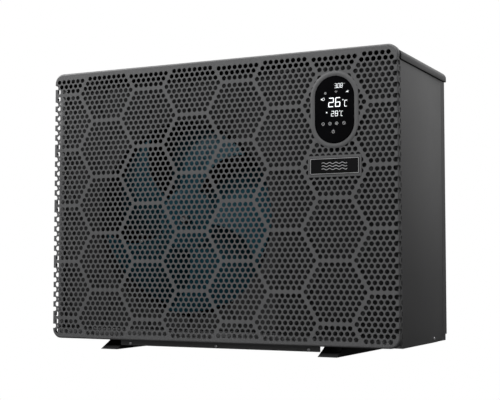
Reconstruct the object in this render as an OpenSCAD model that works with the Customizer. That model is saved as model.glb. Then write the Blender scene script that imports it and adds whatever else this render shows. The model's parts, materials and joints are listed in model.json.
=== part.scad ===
// Side-discharge inverter pool heat pump: a perforated front cover over a fan bay on the left
// and a machine bay on the right, with two water unions on the back.
// X runs along the front, the front faces -Y, and Z = 0 is the ground under the runners.

/* [Cabinet] */
// Width of the front cover
cover_w = 960; // [900:5:1040]
// Height of the front cover
cover_h = 700; // [680:5:740]
// Radius of the front cover's corners
cover_r = 25; // [15:1:40]
// Depth of the folded edge of the front cover
flange_d = 18; // [14:1:24]
// Front face of the cover to the back panel's outer face
cabinet_d = 371; // [371:1:400]
// Thickness of the painted sheet
sheet_t = 2; // [1.5:0.1:2.5]
// Height of the front cover's lower edge above the ground
ground_gap = 24; // [22:1:32]
// Height of the lid, from its lower edge to its top
lid_h = 25; // [16:1:30]
// Step from the top of the front cover down to the top of the lid
lid_drop = 10; // [6:1:20]
// Overhang of the lid past each side
lid_over = 3; // [1:0.5:5]

/* [Perforation] */
// Honeycomb groups are cut if their centre is this near to the fan axis
perforated_reach = 260; // [0:10:280]
// Diameter of one hole
hole_d = 11.4; // [8:0.1:12]
// Distance between neighbouring holes in a row
hole_pitch = 14.81; // [14:0.01:16]
// Height of one honeycomb group of holes
cell_pitch = 147.2; // [145:0.1:150]
// Distance between columns of honeycomb groups
column_pitch = 127.63; // [125:0.01:130]

/* [Fan] */
// Fan axis, left of the cabinet's middle
fan_x = -102; // [-120:1:-90]
// Fan axis above the ground
fan_z = 330; // [320:1:340]
// Throat radius of the air ring
ring_r = 248; // [244:1:256]
// Radius of the fan over its blade tips
fan_r = 234; // [220:1:238]
// Number of fan blades
blade_count = 5; // [3:1:5]
// Radius of the fan hub
hub_r = 81; // [60:1:90]

/* [Display] */
// Display and badge centre, right of the cabinet's middle
display_x = 323; // [315:1:330]
// Display centre above the ground
display_z = 579; // [570:1:585]
// Width of the black glass
glass_w = 99; // [90:1:105]
// Height of the black glass
glass_h = 160; // [150:1:165]
// Width of the painted land around the glass
land_w = 11; // [9:1:14]
// Badge centre above the ground
badge_z = 446; // [440:1:452]
// Width of the badge plate
badge_w = 124; // [110:1:130]
// Height of the badge plate
badge_h = 38.5; // [34:0.5:44]

/* [Water side] */
// Both unions, right of the cabinet's middle
water_x = 392; // [385:1:395]
// Inlet axis above the ground
inlet_z = 150; // [140:1:170]
// Outlet axis above the ground
outlet_z = 410; // [390:1:420]
// Outer diameter of the pipe that glues into a union
pipe_d = 50; // [50:1:50]

/* [Runners] */
// Distance of each runner from the cabinet's middle
runner_x = 302; // [295:1:310]
// Width of a runner
runner_w = 49; // [44:1:54]
// Depth at which the slanted front end reaches the top
runner_slant = 40; // [30:1:50]

/* [Hidden] */
$fn = 48;

// Depths are measured from the cover's front face, because everything is fitted to it.
proud = 2;
union_reach = 53;
back_y = cabinet_d + union_reach;
front_y = (proud - back_y) / 2;
half_w = cover_w / 2;
cover_top = ground_gap + cover_h;
lid_top = cover_top - lid_drop;
lid_z = lid_top - lid_h;
fit_gap = 0.05;
eps = 0.01;
row_pitch = hole_pitch * sin(60);

// Base pan and runners
pan_z = ground_gap;
pan_wall = 28;
rail_low = 10;
rail_y = flange_d;
pan_y0 = rail_y + sheet_t;
pan_y1 = cabinet_d - sheet_t - 0.3;
pan_half = half_w - sheet_t - 0.3;
runner_back = 398;

// Bays
bay_x = 166;
ring_y = 30;
ring_depth = 74;
bay_front_y = 9;
inner_z0 = pan_z + sheet_t + 0.2;
inner_z1 = lid_z - 1;

// Fan
fan_y = 78;
shaft_r = 6;
motor_y = 132;
motor_r = 56;
motor_len = 78;
bracket_y = motor_y + motor_len;

// Evaporator coil
coil_t = 38;
coil_y = 322;
coil_left = -458;
coil_right = bay_x - 12;
coil_front = 66;
coil_r = 80;
coil_z0 = inner_z0 + 6;
coil_z1 = inner_z1 - 8;

// Machine bay
comp_x = 254;
comp_y = 130;
comp_r = 66;
comp_z0 = 62;
comp_h = 268;
acc_x = 352;
acc_y = 92;
acc_r = 31;
acc_z0 = 96;
acc_h = 210;
shell_y = 262;
shell_r = 76;
shell_z0 = 84;
shell_h = 392;
valve_x = 244;
valve_y = 262;
valve_z = 452;
box_x0 = bay_x + 14;
box_x1 = half_w - 16;
box_y0 = 48;
box_y1 = 300;
box_z0 = 548;
box_z1 = inner_z1 - 6;

// Unions
stub_r = pipe_d / 2;
stub_bore = 21;
thread_r = 30;
collar_y = cabinet_d;
stub_end = cabinet_d + 22;
tail_flange = 5;
tail_r = pipe_d / 2 + 3;
socket_r = pipe_d / 2 + 0.1;
socket_len = 22;
nut_y0 = cabinet_d + 6;
nut_r = 42;
lip_y = stub_end + tail_flange + 0.3;
paddle_y = cabinet_d - 19;

module from_front() translate([0, front_y, 0]) children();
module along_y(x, y, z) translate([x, y, z]) rotate([-90, 0, 0]) children();
module along_x(x, y, z) translate([x, y, z]) rotate([0, 90, 0]) children();

// A box given by its lowest and highest corners.
module slab(low, high) translate(low) cube(high - low);

module rounded_rect(w, h, r) {
    union() {
        square([w - 2 * r, h], center = true);
        square([w, h - 2 * r], center = true);
        for (sx = [-1, 1], sz = [-1, 1])
            translate([sx * (w / 2 - r), sz * (h / 2 - r)]) circle(r = r);
    }
}

// A flat shape drawn as the front sees it, standing from depth y to depth y + t.
module upright(x, y, z, t) translate([x, y + t, z]) rotate([90, 0, 0]) linear_extrude(t) children();

module stadium(w, h) {
    union() {
        square([w, h - w], center = true);
        for (s = [-1, 1]) translate([0, s * (h - w) / 2]) circle(r = w / 2);
    }
}

// ---- Front cover -------------------------------------------------------------------------

first_column = -3;
last_column = 4;
column_x0 = 67.2;
cell_z0 = 53.6;
row_low = 14;
row_high = cover_h - 17;

function column_x(i) = column_x0 + (i - 1) * column_pitch;
function cell_z(i, k) = cell_z0 + (i % 2 == 0 ? 0 : cell_pitch / 2) + k * cell_pitch;
function in_reach(i, k) =
    norm([column_x(i) - fan_x, cell_z(i, k) + ground_gap - fan_z]) < perforated_reach;

// Hole centres of one column of honeycomb groups, as [x along the unfolded sheet, height].
function column_holes(i) = [
    for (k = [-1:5]) if (in_reach(i, k)) for (r = [-5:5])
        let (z = cell_z(i, k) + r * row_pitch, n = 11 - abs(r))
        if (z > row_low && z < row_high)
            for (j = [0:n - 1]) [column_x(i) + (j - (n - 1) / 2) * hole_pitch, z]
];

module front_face_plan() {
    difference() {
        translate([0, cover_h / 2]) rounded_rect(cover_w, cover_h, cover_r);
        translate([display_x, display_z - ground_gap]) stadium(glass_w - 8, glass_h - 8);
        for (i = [first_column:last_column]) for (p = column_holes(i))
            if (!under_display(p) && !under_badge(p))
                translate(p) circle(r = hole_d / 2);
    }
}

function under_display(p) =
    let (dz = max(0, abs(p[1] + ground_gap - display_z) - (glass_h - glass_w) / 2))
    norm([p[0] - display_x, dz]) < glass_w / 2 + hole_d / 2 - 2;
function under_badge(p) =
    abs(p[0] - display_x) < badge_w / 2 && abs(p[1] + ground_gap - badge_z) < badge_h / 2 + 2;

module front_cover() {
    color("dimgray") from_front() {
        union() {
            upright(0, 0, ground_gap, sheet_t) front_face_plan();
            difference() {
                upright(0, sheet_t - eps, ground_gap + cover_h / 2, flange_d - sheet_t + eps)
                    rounded_rect(cover_w, cover_h, cover_r);
                upright(0, 0, ground_gap + cover_h / 2, flange_d + 1)
                    rounded_rect(cover_w - 2 * sheet_t, cover_h - 2 * sheet_t, cover_r - sheet_t);
            }
        }
    }
}

// ---- Display and badge -------------------------------------------------------------------

bezel_proud = 0.5;
backing_t = 0.8;

module display_bezel() {
    color("dimgray") from_front() {
        difference() {
            upright(display_x, -bezel_proud, display_z, bezel_proud)
                stadium(glass_w + 2 * land_w, glass_h + 2 * land_w);
            upright(display_x, -bezel_proud - 1, display_z, bezel_proud + 2)
                stadium(glass_w + 0.4, glass_h + 0.4);
        }
    }
}

module display_glass() {
    color("black") from_front()
        upright(display_x, -proud, display_z, proud)
            stadium(glass_w, glass_h);
}

housing_d = 26;

module display_housing() {
    color("#303030") from_front() {
        difference() {
            union() {
                upright(display_x, 0, display_z, housing_d)
                    stadium(glass_w - 8.6, glass_h - 8.6);
                upright(display_x, sheet_t, display_z, 3)
                    stadium(glass_w + 8, glass_h + 8);
            }
            upright(display_x, -1, display_z, housing_d - 1)
                stadium(glass_w - 13, glass_h - 13);
        }
    }
}

module display_board() {
    color("darkgreen") from_front()
        upright(display_x, 4, display_z, 1.6) stadium(glass_w - 13.4, glass_h - 13.4);
}

module badge_backing() {
    color("dimgray") from_front()
        upright(display_x, -backing_t, badge_z, backing_t)
            square([badge_w + 10, badge_h + 12], center = true);
}

module badge_plate() {
    color("black") from_front()
        upright(display_x, -proud, badge_z, proud - backing_t) rounded_rect(badge_w, badge_h, 2);
}

// ---- Cabinet -----------------------------------------------------------------------------

seam = 0.1;
lid_y0 = flange_d + seam;
lid_y1 = cabinet_d + 8;
lid_r = 15;
lid_half = half_w + lid_over;

// Flat outline standing on its lower edge, with round upper corners.
module arch(w, h, r) {
    intersection() {
        translate([-w / 2, 0]) square([w, h]);
        union() {
            translate([-w / 2, 0]) square([w, h - r]);
            translate([r - w / 2, 0]) square([w - 2 * r, h]);
            for (s = [-1, 1]) translate([s * (w / 2 - r), h - r]) circle(r = r);
        }
    }
}

// Box with round upper edges at its sides and its rear; its front and its underside are flat.
module lid_body(inset) {
    below = inset > 0 ? 1 : 0;
    height = lid_h - inset + below;
    intersection() {
        upright(0, lid_y0 - below, lid_z - below, lid_y1 - lid_y0)
            arch(2 * (lid_half - inset), height, lid_r - inset);
        translate([-lid_half, 0, lid_z - below]) rotate([90, 0, 90])
            linear_extrude(2 * lid_half)
                arch(2 * (lid_y1 - inset), height, lid_r - inset);
    }
}

// Lip folded up behind the front cover's upper flange, so that no light passes over the lid.
module lid_lip() {
    inset = sheet_t + 2;
    intersection() {
        upright(0, lid_y0, ground_gap + cover_h / 2, sheet_t)
            rounded_rect(cover_w - 2 * inset, cover_h - 2 * inset, cover_r - inset);
        slab([-half_w, lid_y0 - 1, lid_top - sheet_t], [half_w, lid_y0 + 2 * sheet_t, cover_top]);
    }
}

module top_cover() {
    color("dimgray") from_front() {
        union() {
            difference() {
                lid_body(0);
                lid_body(sheet_t);
            }
            lid_lip();
        }
    }
}

panel_z0 = ground_gap;
panel_z1 = lid_z - 1.5;
notch_y = 325;
notch_h = 16;
step_y = 290;
step_h = 3;
return_w = 36;
crease = 1.2;
crease_y = cabinet_d - 30;
tongue_x = half_w - 2 * sheet_t - 0.3;
tongue_y = 4;

// Its front edge is stepped inwards and lies behind the cover's flange.

module right_side_panel() {
    color("dimgray") from_front() {
        difference() {
            union() {
                slab([half_w - sheet_t, flange_d + seam, panel_z0], [half_w, cabinet_d, panel_z1]);
                slab([half_w - return_w, cabinet_d - sheet_t, panel_z0], [half_w, cabinet_d, panel_z1]);
                slab([tongue_x, flange_d + seam, panel_z0 + pan_wall + 2],
                    [half_w, flange_d + seam + sheet_t, panel_z1]);
                slab([tongue_x, tongue_y, panel_z0 + pan_wall + 2],
                    [tongue_x + sheet_t, flange_d + seam + sheet_t, panel_z1]);
            }
            slab([half_w - crease / 2, crease_y, panel_z0 - 1],
                [half_w + 1, crease_y + crease, panel_z1 + 1]);
            slab([half_w - return_w - 1, notch_y, panel_z0 - 1],
                [half_w + 1, cabinet_d + 1, panel_z0 + notch_h]);
            slab([half_w - sheet_t - 1, step_y, panel_z0 - 1],
                [half_w + 1, notch_y + 1, panel_z0 + step_h]);
        }
    }
}

post_w = 40;
post_y = flange_d + 6;

// Set back from the cover, whose edge stays open to the air on this side.
module left_front_post() {
    color("dimgray") from_front() {
        union() {
            slab([-half_w, post_y, panel_z0], [-half_w + sheet_t, flange_d + post_w, panel_z1]);
            slab([-half_w, post_y, panel_z0 + pan_wall + 2],
                [-half_w + 16, post_y + sheet_t, panel_z1]);
        }
    }
}

module left_rear_post() {
    color("dimgray") from_front() {
        difference() {
            union() {
                slab([-half_w, cabinet_d - post_w, panel_z0], [-half_w + sheet_t, cabinet_d, panel_z1]);
                slab([-half_w, cabinet_d - sheet_t, panel_z0], [-half_w + post_w, cabinet_d, panel_z1]);
            }
            slab([-half_w - 1, notch_y, panel_z0 - 1],
                [-half_w + post_w + 1, cabinet_d + 1, panel_z0 + notch_h]);
        }
    }
}

gland_x = 250;
gland_z = 560;
gland_r = 13;

module rear_panel() {
    color("dimgray") from_front() {
        difference() {
            slab([bay_x - 10, cabinet_d - sheet_t, panel_z0],
                [half_w - return_w - 0.3, cabinet_d, panel_z1]);
            for (z = [inlet_z, outlet_z])
                along_y(water_x, cabinet_d - 5, z) cylinder(r = thread_r + 0.5, h = 10);
            along_y(gland_x, cabinet_d - 5, gland_z) cylinder(r = gland_r + 0.2, h = 10);
            for (i = [0:4], s = [-1, 1])
                upright(300 + s * 45, cabinet_d - 5, 625 - i * 12, 10) rounded_rect(70, 5, 2.4);
        }
    }
}

wire_r = 1.6;
guard_step = 20;
guard_z0 = pan_z + pan_wall + 1;
cross_step = 121;

// Welded wire guard over the coil's back.
module rear_guard() {
    x0 = -half_w + post_w + 2;
    x1 = bay_x - 12;
    count = floor((x1 - x0 - 10) / guard_step);
    color("black") from_front() {
        union() {
            for (i = [0:count])
                translate([x0 + 6 + i * guard_step, cabinet_d - wire_r, guard_z0])
                    cylinder(r = wire_r, h = panel_z1 - 6 - guard_z0, $fn = 16);
            for (k = [0:5])
                along_x(x0, cabinet_d - 3 * wire_r + 0.5, guard_z0 + 4 + k * cross_step)
                    cylinder(r = wire_r, h = x1 - x0, $fn = 16);
        }
    }
}

module left_guard() {
    y0 = flange_d + post_w + 1;
    y1 = cabinet_d - post_w - 1;
    count = floor((y1 - y0 - 10) / guard_step);
    color("black") from_front() {
        union() {
            for (i = [0:count])
                translate([-half_w + wire_r, y0 + 6 + i * guard_step, guard_z0])
                    cylinder(r = wire_r, h = panel_z1 - 6 - guard_z0, $fn = 16);
            for (k = [0:5])
                translate([-half_w + 3 * wire_r - 0.5, y0, guard_z0 + 4 + k * cross_step])
                    rotate([-90, 0, 0]) cylinder(r = wire_r, h = y1 - y0, $fn = 16);
        }
    }
}

drain_x = -200;
drain_y = 250;
drain_r = 10;

module base_pan() {
    color("dimgray") from_front() {
        difference() {
            slab([-pan_half, pan_y0, pan_z], [pan_half, pan_y1, pan_z + pan_wall]);
            slab([-pan_half + sheet_t, pan_y0 + sheet_t, pan_z + sheet_t],
                [pan_half - sheet_t, pan_y1 - sheet_t, pan_z + pan_wall + 1]);
            translate([drain_x, drain_y, pan_z - 1]) cylinder(r = drain_r, h = 10);
        }
    }
}

module base_rail() {
    color("dimgray") from_front()
        slab([-runner_x + runner_w / 2 + 0.3, rail_y, rail_low],
            [runner_x - runner_w / 2 - 0.3, rail_y + sheet_t, pan_z + pan_wall]);
}

runner_wall = 2.5;
anchor_y = 386;
anchor_r = 5.5;

// Steel channel, closed by a slanted plate at the front and open above its rear anchor hole.
module runner(x) {
    top = pan_z;
    low_x = x - runner_w / 2;
    difference() {
        translate([low_x, 0, 0]) rotate([90, 0, 90]) linear_extrude(runner_w)
            polygon([[0, 0], [runner_slant, top - 5], [runner_slant + 4, top],
                [runner_back - 26, top], [runner_back, 6], [runner_back, 0]]);
        translate([low_x + runner_wall, 0, 0]) rotate([90, 0, 90])
            linear_extrude(runner_w - 2 * runner_wall)
            polygon([[3 * runner_wall, runner_wall], [runner_slant + 3 * runner_wall, top + 1],
                [runner_back + 1, top + 1], [runner_back + 1, runner_wall]]);
        translate([x, anchor_y, -1]) cylinder(r = anchor_r, h = 10);
    }
}

module left_runner() color("#181818") from_front() runner(-runner_x);
module right_runner() color("#181818") from_front() runner(runner_x);

// ---- Fan bay -----------------------------------------------------------------------------

lip_r = 10;

// Panel with a drawn ring: a round lip at the front, then a straight throat.
module air_ring_panel() {
    x0 = -half_w + 20;
    x1 = bay_x - 1;
    z0 = pan_z + pan_wall + 1;
    color("gray") from_front() {
        difference() {
            union() {
                slab([x0, ring_y, z0], [x1, ring_y + sheet_t, inner_z1]);
                slab([x0, ring_y, z0], [x0 + sheet_t, ring_y + 26, inner_z1]);
                slab([x0, ring_y, inner_z1 - sheet_t], [x1, ring_y + 26, inner_z1]);
                slab([x0, pan_y0 + sheet_t + 0.3, z0], [x1, ring_y + sheet_t, z0 + sheet_t]);
            }
            along_y(fan_x, 0, fan_z) cylinder(r = ring_r + lip_r, h = 60, $fn = 96);
        }
        along_y(fan_x, ring_y, fan_z) rotate_extrude($fn = 96) {
            difference() {
                translate([ring_r, 0]) square([lip_r + 0.5, lip_r]);
                translate([ring_r + lip_r, lip_r]) circle(r = lip_r);
            }
            translate([ring_r, lip_r - eps]) square([sheet_t, ring_depth - lip_r]);
            difference() {
                translate([ring_r + lip_r, lip_r]) circle(r = lip_r);
                translate([ring_r + lip_r, lip_r]) circle(r = lip_r - sheet_t);
                translate([ring_r + lip_r, -1]) square([lip_r + 5, 2 * lip_r + 5]);
                translate([ring_r - 1, lip_r]) square([2 * lip_r + 5, lip_r + 5]);
            }
        }
    }
}

module bay_front_panel() {
    color("gray") from_front() {
        difference() {
            union() {
                slab([bay_x + 1, bay_front_y, pan_z + pan_wall + 1],
                    [tongue_x - 1, bay_front_y + sheet_t, inner_z1 - 1]);
                slab([bay_x + 1, bay_front_y, pan_z + pan_wall + 1],
                    [bay_x + 1 + sheet_t, ring_y + 10, inner_z1 - 1]);
            }
            upright(display_x, bay_front_y - 5, display_z, 10) stadium(glass_w + 12, glass_h + 12);
        }
    }
}

module partition_panel() {
    color("gray") from_front() {
        difference() {
            union() {
                slab([bay_x - 1, ring_y + 10.5, inner_z0], [bay_x + 1, pan_y1 - sheet_t - 4, inner_z1]);
                slab([bay_x - 1, ring_y + 10.5, inner_z0],
                    [bay_x + 9, pan_y1 - sheet_t - 4, inner_z0 + sheet_t]);
            }
            for (z = [valve_z - 40, 112])
                along_x(bay_x - 5, coil_y + coil_t / 2, z) cylinder(r = 12, h = 10);
        }
    }
}

// One blade is a thin plate: its mean line is swept forward from root to tip, and its
// leading edge stands in front of its trailing edge. Rows run outwards,
// columns run from leading to trailing edge.
blade_rows = 10;
blade_cols = 8;
blade_t = 3;
blade_turn = 100;
root_span = 76;
mid_span = 64;
tip_span = 66;
root_depth = 64;
tip_depth = 90;
sweep_start = -15;
sweep_growth = -10;

function blade_point(i, j, side) =
    let (
        s = i / blade_rows,
        c = j / blade_cols,
        r = hub_r - 4 + s * (fan_r - hub_r + 4),
        span = root_span + (4 * mid_span - 3 * root_span - tip_span) * s
            + 2 * (root_span + tip_span - 2 * mid_span) * s * s,
        sweep = sweep_start * s + sweep_growth * s * s,
        depth = root_depth + (tip_depth - root_depth) * s,
        angle = sweep + (c - 0.5) * span,
        camber = 9 * sin(180 * c),
        y = (c - 0.5) * depth - camber + side * blade_t / 2
    )
    [r * cos(angle), y, r * sin(angle)];

function blade_grid(side) = [for (i = [0:blade_rows]) for (j = [0:blade_cols]) blade_point(i, j, side)];

blade_n = blade_cols + 1;
blade_total = blade_n * (blade_rows + 1);
blade_rim = concat(
    [for (j = [0:blade_cols]) j],
    [for (i = [1:blade_rows]) i * blade_n + blade_cols],
    [for (j = [1:blade_cols]) blade_rows * blade_n + blade_cols - j],
    [for (i = [1:blade_rows - 1]) (blade_rows - i) * blade_n]
);

function blade_faces() = concat(
    [for (i = [0:blade_rows - 1]) for (j = [0:blade_cols - 1]) each
        let (a = i * blade_n + j, b = a + 1, c = a + blade_n, d = c + 1)
        [[a, d, c], [a, b, d]]],
    [for (i = [0:blade_rows - 1]) for (j = [0:blade_cols - 1]) each
        let (a = blade_total + i * blade_n + j, b = a + 1, c = a + blade_n, d = c + 1)
        [[a, c, d], [a, d, b]]],
    [for (k = [0:len(blade_rim) - 1]) each
        let (a = blade_rim[k], b = blade_rim[(k + 1) % len(blade_rim)])
        [[b, a, a + blade_total], [b, a + blade_total, b + blade_total]]]
);

module blade() polyhedron(points = concat(blade_grid(-1), blade_grid(1)), faces = blade_faces());

hub_y0 = fan_y - 34;
hub_y1 = fan_y + 34;

module fan_rotor() {
    color("#1b3a4a") from_front() {
        difference() {
            union() {
                along_y(fan_x, hub_y0, fan_z) cylinder(r = hub_r, h = hub_y1 - hub_y0, $fn = 64);
                for (k = [0:blade_count - 1])
                    translate([fan_x, fan_y, fan_z])
                        rotate([0, -k * 360 / blade_count - blade_turn, 0]) blade();
            }
            along_y(fan_x, hub_y0 + 8, fan_z) difference() {
                cylinder(r = hub_r - 4, h = 80, $fn = 64);
                translate([0, 0, -1]) cylinder(r = 13, h = 82);
            }
            along_y(fan_x, hub_y0 - 5, fan_z) cylinder(r = shaft_r, h = 90);
        }
    }
}

nut_af = 19;

module fan_nut() {
    color("silver") from_front() {
        difference() {
            along_y(fan_x, hub_y0 - 10, fan_z) cylinder(r = nut_af / 2 / cos(30), h = 10, $fn = 6);
            along_y(fan_x, hub_y0 - 12, fan_z) cylinder(r = shaft_r + fit_gap, h = 14);
        }
    }
}

motor_gap = 3;

module motor_shaft() {
    color("silver") from_front()
        along_y(fan_x, hub_y0 - 14, fan_z) cylinder(r = shaft_r, h = motor_y + 20 - hub_y0 + 14);
}

module fan_motor() {
    color("#202020") from_front() {
        difference() {
            union() {
                along_y(fan_x, motor_y, fan_z) cylinder(r = motor_r, h = motor_len, $fn = 64);
                along_y(fan_x, motor_y - motor_gap, fan_z) cylinder(r = 20, h = motor_gap + 1);
                for (a = [45:90:315])
                    along_y(fan_x + (motor_r + 6) * cos(a), bracket_y - 6, fan_z + (motor_r + 6) * sin(a))
                        cylinder(r = 9, h = 6);
            }
            along_y(fan_x, motor_y - 6, fan_z) cylinder(r = shaft_r + fit_gap, h = 28);
            for (a = [45:90:315])
                along_y(fan_x + (motor_r + 6) * cos(a), bracket_y - 8, fan_z + (motor_r + 6) * sin(a))
                    cylinder(r = 2.6, h = 10, $fn = 24);
        }
    }
}

bracket_half = 60;

// Two folded uprights joined by a plate behind the motor.
module motor_bracket() {
    color("gray") from_front() {
        difference() {
            union() {
                for (s = [-1, 1])
                    slab([fan_x + s * bracket_half - 14, bracket_y, inner_z0],
                        [fan_x + s * bracket_half + 14, bracket_y + sheet_t, inner_z1]);
                for (s = [-1, 1])
                    slab([fan_x + s * (bracket_half + 14) - 1, bracket_y, inner_z0],
                        [fan_x + s * (bracket_half + 14) + 1, bracket_y + 18, inner_z1]);
                slab([fan_x - bracket_half, bracket_y, fan_z - 60],
                    [fan_x + bracket_half, bracket_y + sheet_t, fan_z + 60]);
                slab([fan_x - bracket_half - 14, bracket_y, inner_z1 - sheet_t],
                    [fan_x + bracket_half + 14, bracket_y + 30, inner_z1]);
            }
            for (a = [45:90:315])
                along_y(fan_x + (motor_r + 6) * cos(a), bracket_y - 8, fan_z + (motor_r + 6) * sin(a))
                    cylinder(r = 2.6, h = 20, $fn = 24);
            along_y(fan_x, bracket_y - 5, fan_z) cylinder(r = 24, h = 20);
        }
    }
}

module motor_screws() {
    color("silver") from_front() {
        for (a = [45:90:315])
            along_y(fan_x + (motor_r + 6) * cos(a), bracket_y - 10, fan_z + (motor_r + 6) * sin(a)) {
                cylinder(r = 4.5, h = 4, $fn = 24);
                cylinder(r = 2.5, h = 16, $fn = 24);
            }
    }
}

function arc(x, y, r, from, to) =
    [for (i = [0:24]) let (a = from + (to - from) * i / 24) [x + r * cos(a), y + r * sin(a)]];

// Plan of the coil: a rear leg and a left leg joined by a round corner.
module coil_plan() {
    cx = coil_left + coil_r;
    cy = coil_y + coil_t - coil_r;
    polygon(concat(
        [[coil_right, coil_y + coil_t]],
        arc(cx, cy, coil_r, 90, 180),
        [[coil_left, coil_front], [coil_left + coil_t, coil_front]],
        arc(cx, cy, coil_r - coil_t, 180, 90),
        [[coil_right, coil_y]]));
}

module coil_fins() {
    color("silver") from_front()
        translate([0, 0, coil_z0]) linear_extrude(coil_z1 - coil_z0) coil_plan();
}

end_t = 1.5;

module coil_end_plate() {
    color("gray") from_front() {
        union() {
            slab([coil_right, coil_y - 4, coil_z0 - 5], [coil_right + end_t, coil_y + coil_t, coil_z1 + 5]);
            slab([coil_left, coil_front - end_t, coil_z0 - 5],
                [coil_left + coil_t + 4, coil_front, coil_z1 + 5]);
        }
    }
}

bend_r = 12;
bend_tube = 4;
bend_step = 50;

// Half-round copper bends that join the coil's tubes at its front end.
module coil_bends() {
    count = floor((coil_z1 - coil_z0 - 60) / bend_step);
    color("#b87333") from_front()
        for (i = [0:count])
            translate([coil_left + coil_t / 2, coil_front - end_t, coil_z0 + 30 + i * bend_step])
                rotate([0, 90, 180]) rotate_extrude(angle = 180, $fn = 32)
                    translate([bend_r, 0]) circle(r = bend_tube, $fn = 16);
}

// ---- Machine bay -------------------------------------------------------------------------

dome_h = 26;

// Upright pressure vessel with domed ends, made by turning its outline.
module vessel(r, h, dome) {
    rotate_extrude($fn = 64) intersection() {
        union() {
            translate([0, dome]) square([r, h - 2 * dome]);
            for (z = [dome, h - dome]) intersection() {
                translate([0, z]) circle(r = r, $fn = 96);
                translate([0, z - dome]) square([r, 2 * dome]);
            }
        }
        square([r, h]);
    }
}

module compressor() {
    color("#151515") from_front() {
        difference() {
            union() {
                translate([comp_x, comp_y, comp_z0]) vessel(comp_r, comp_h, dome_h);
                translate([comp_x, comp_y, comp_z0 - 3]) intersection() {
                    cylinder(r = comp_r + 20, h = 4, $fn = 64);
                    rotate(90) cylinder(r = 150, h = 4, $fn = 3);
                }
            }
            for (a = grommet_angles)
                translate([comp_x + grommet_ring * cos(a), comp_y + grommet_ring * sin(a), comp_z0 - 5])
                    cylinder(r = grommet_neck, h = 10, $fn = 32);
        }
    }
}

grommet_angles = [90, 210, 330];
grommet_ring = comp_r + 10;
grommet_neck = 6;

module compressor_grommets() {
    color("#101010") from_front()
        for (a = grommet_angles)
            translate([comp_x + grommet_ring * cos(a), comp_y + grommet_ring * sin(a), inner_z0])
                union() {
                    cylinder(r = 11, h = comp_z0 - 3 - inner_z0, $fn = 32);
                    cylinder(r = grommet_neck - fit_gap, h = comp_z0 - inner_z0 + 6, $fn = 32);
                }
}

module compressor_cap() {
    color("#202020") from_front()
        translate([comp_x, comp_y, comp_z0 + comp_h]) difference() {
            cylinder(r = 26, h = 30, $fn = 48);
            translate([0, 0, -1]) cylinder(r = 23, h = 28, $fn = 48);
        }
}

module accumulator() {
    color("#151515") from_front()
        translate([acc_x, acc_y, acc_z0]) vessel(acc_r, acc_h, 16);
}

pipe_r = 8;
thin_r = 5;

elbow_over = 0.8;

// Copper tube along straight runs, with a brazed elbow, a little fatter, at each turn.
module tube_run(points, r) {
    union() {
        for (i = [0:len(points) - 2]) {
            d = points[i + 1] - points[i];
            length = norm(d);
            translate(points[i]) rotate([0, acos(d[2] / length), atan2(d[1], d[0])])
                cylinder(r = r, h = length, $fn = 24);
        }
        for (i = [1:len(points) - 2]) translate(points[i]) sphere(r = r + elbow_over, $fn = 32);
    }
}

valve_len = 92;
valve_r = 18;

intake_x = comp_x + comp_r + 12;

module suction_pipe() {
    color("#b87333") from_front() {
        tube_run([[acc_x, acc_y, acc_z0 + acc_h], [acc_x, acc_y, 400], [valve_x, valve_y - 60, 400],
            [valve_x, valve_y, 400], [valve_x, valve_y, valve_z - valve_r - fit_gap]], pipe_r);
        tube_run([[acc_x, acc_y, acc_z0], [acc_x, acc_y, acc_z0 - 18], [intake_x, comp_y, acc_z0 - 18],
            [intake_x, comp_y, acc_z0 + 24], [comp_x + comp_r + fit_gap, comp_y, acc_z0 + 24]], pipe_r);
    }
}

module discharge_pipe() {
    color("#b87333") from_front()
        tube_run([[comp_x - 40, comp_y, comp_z0 + comp_h], [comp_x - 40, comp_y, 500],
            [valve_x, valve_y, 500], [valve_x, valve_y, valve_z + valve_r + fit_gap]], 6);
}

expand_x = 300;
expand_y = 214;
expand_z = 282;
expand_h = 48;

module liquid_pipe() {
    color("#b87333") from_front()
        tube_run([[water_x - 20, shell_y, shell_z0 + shell_h - 1], [water_x - 20, shell_y, 505],
            [expand_x, expand_y, 505], [expand_x, expand_y, expand_z + expand_h]], thin_r - fit_gap);
}

module reversing_valve() {
    color("#b5a642") from_front() {
        along_x(valve_x - valve_len / 2, valve_y, valve_z) cylinder(r = valve_r, h = valve_len);
        for (dx = [-24, 24])
            translate([valve_x + dx, valve_y, valve_z - valve_r - 24])
                cylinder(r = pipe_r, h = 26, $fn = 24);
    }
}

module reversing_coil() {
    color("#202020") from_front()
        slab([valve_x - 18, valve_y - valve_r - 34, valve_z - 16],
            [valve_x + 18, valve_y - valve_r, valve_z + 20]);
}

module expansion_valve() {
    color("#b5a642") from_front()
        translate([expand_x, expand_y, expand_z]) union() {
            cylinder(r = 11, h = expand_h, $fn = 32);
            translate([0, 0, 6]) cylinder(r = 20, h = 26, $fn = 32);
        }
}

shell_wall = 6;

module heat_exchanger_shell() {
    color("#2a2a2a") from_front() {
        difference() {
            union() {
                translate([water_x, shell_y, shell_z0]) cylinder(r = shell_r, h = shell_h, $fn = 64);
                for (z = [shell_z0, shell_z0 + shell_h - 30])
                    translate([water_x, shell_y, z]) cylinder(r = shell_r + 5, h = 30, $fn = 64);
            }
            translate([water_x, shell_y, shell_z0 + shell_wall])
                cylinder(r = shell_r - shell_wall, h = shell_h - 2 * shell_wall, $fn = 64);
            for (z = [inlet_z, outlet_z])
                along_y(water_x, shell_y, z) cylinder(r = stub_r, h = 150);
            translate([water_x - 20, shell_y, shell_z0 + shell_h - 20])
                cylinder(r = thin_r, h = 40, $fn = 24);
        }
    }
}

helix_r = 56;
helix_turns = 8;
helix_step = 24;
helix_tube = 7;
helix_rise = (shell_h - 2 * shell_wall - 30) / (helix_turns * helix_step);
helix_sides = 8;

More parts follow.
